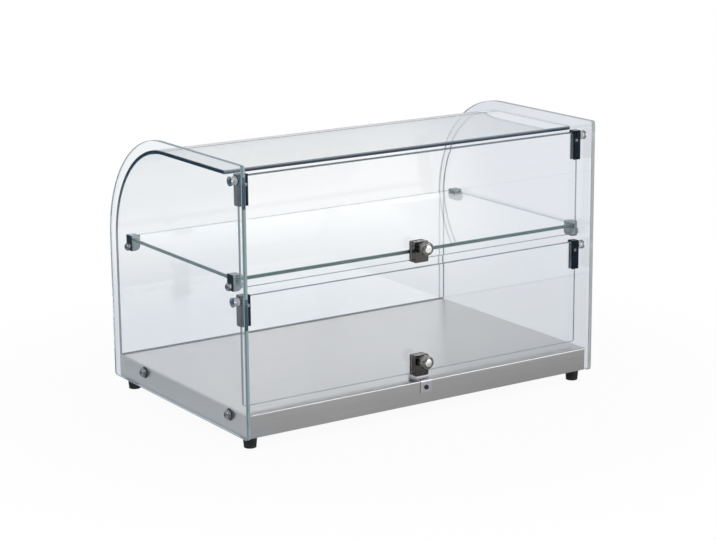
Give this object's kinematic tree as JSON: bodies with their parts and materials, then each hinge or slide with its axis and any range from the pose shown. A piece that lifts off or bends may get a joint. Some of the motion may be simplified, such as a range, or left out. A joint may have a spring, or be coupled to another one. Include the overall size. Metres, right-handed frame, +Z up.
{
  "type": "countertop display case",
  "caption": "Countertop display case: bent glass front and top between glass sides, a glass shelf, a stainless base on rubber feet, and top-hung glass flap doors at the back.",
  "frame": {"origin": "on the counter, in the middle of the overall outline", "axes": "+X along the width, -Y towards the operator and the doors, +Y towards the customer, +Z up"},
  "size_m": [0.5632, 0.363, 0.366],
  "materials": {
    "side_glass": "clear float glass, ground and polished edges",
    "bent_glass": "clear bent glass, ground edges",
    "shelf_glass": "clear float glass, ground edges",
    "door_glass": "clear float glass, ground edges",
    "clear_silicone": "clear silicone bead",
    "stainless": "bright brushed stainless steel",
    "black_rubber": "black moulded rubber",
    "zinc_plated": "zinc-plated steel",
    "bright_fastener": "bright nickel-plated steel",
    "dark_clamp": "dark satin zinc casting",
    "grey_nylon": "grey nylon",
    "nickel_clip": "satin nickel-plated casting",
    "clear_liner": "clear soft PVC",
    "chrome": "bright chrome plate",
    "white_nylon": "white nylon"
  },
  "bodies": {
    "cabinet": {"base_tray": "stainless", "curved_glass": "bent_glass", "foot_front_left": "black_rubber", "foot_front_right": "black_rubber", "foot_nuts": "zinc_plated", "foot_rear_left": "black_rubber", "foot_rear_right": "black_rubber", "foot_screws": "zinc_plated", "front_glass_seal": "clear_silicone", "left_glass_seal": "clear_silicone", "left_side_panel": "side_glass", "lower_door_catch_plate": "stainless", "lower_door_stop": "white_nylon", "lower_door_stop_screw": "zinc_plated", "lower_left_pivot_bush": "grey_nylon", "lower_right_pivot_bush": "grey_nylon", "panel_bolts": "bright_fastener", "panel_gaskets": "clear_liner", "panel_nuts": "zinc_plated", "panel_washers": "grey_nylon", "right_glass_seal": "clear_silicone", "right_side_panel": "side_glass", "shelf_clip_bolts": "bright_fastener", "shelf_clip_front_left": "nickel_clip", "shelf_clip_front_right": "nickel_clip", "shelf_clip_liners": "clear_liner", "shelf_clip_rear_left": "nickel_clip", "shelf_clip_rear_right": "nickel_clip", "shelf_clip_washers": "grey_nylon", "shelf_glass": "shelf_glass", "upper_left_pivot_bush": "grey_nylon", "upper_right_pivot_bush": "grey_nylon"},
    "upper_door": {"upper_door_glass": "door_glass", "upper_handle_clamp": "chrome", "upper_handle_knob": "chrome", "upper_handle_liner": "clear_liner", "upper_hinge_liners": "clear_liner", "upper_hinge_set_screws": "bright_fastener", "upper_left_hinge_clamp": "dark_clamp", "upper_left_pivot_pin": "bright_fastener", "upper_right_hinge_clamp": "dark_clamp", "upper_right_pivot_pin": "bright_fastener"},
    "lower_door": {"lower_door_glass": "door_glass", "lower_handle_clamp": "chrome", "lower_handle_knob": "chrome", "lower_handle_liner": "clear_liner", "lower_hinge_liners": "clear_liner", "lower_hinge_set_screws": "bright_fastener", "lower_left_hinge_clamp": "dark_clamp", "lower_left_pivot_pin": "bright_fastener", "lower_right_hinge_clamp": "dark_clamp", "lower_right_pivot_pin": "bright_fastener"}
  },
  "joints": [
    {"name": "upper_door_hinge", "type": "hinge", "parent": "cabinet", "child": "upper_door", "pos_m": [0, -0.155, 0.3435], "axis": [-1, 0, 0], "range_deg": [0, 110]},
    {"name": "lower_door_hinge", "type": "hinge", "parent": "cabinet", "child": "lower_door", "pos_m": [0, -0.155, 0.1905], "axis": [-1, 0, 0], "range_deg": [0, 95]}
  ]
}
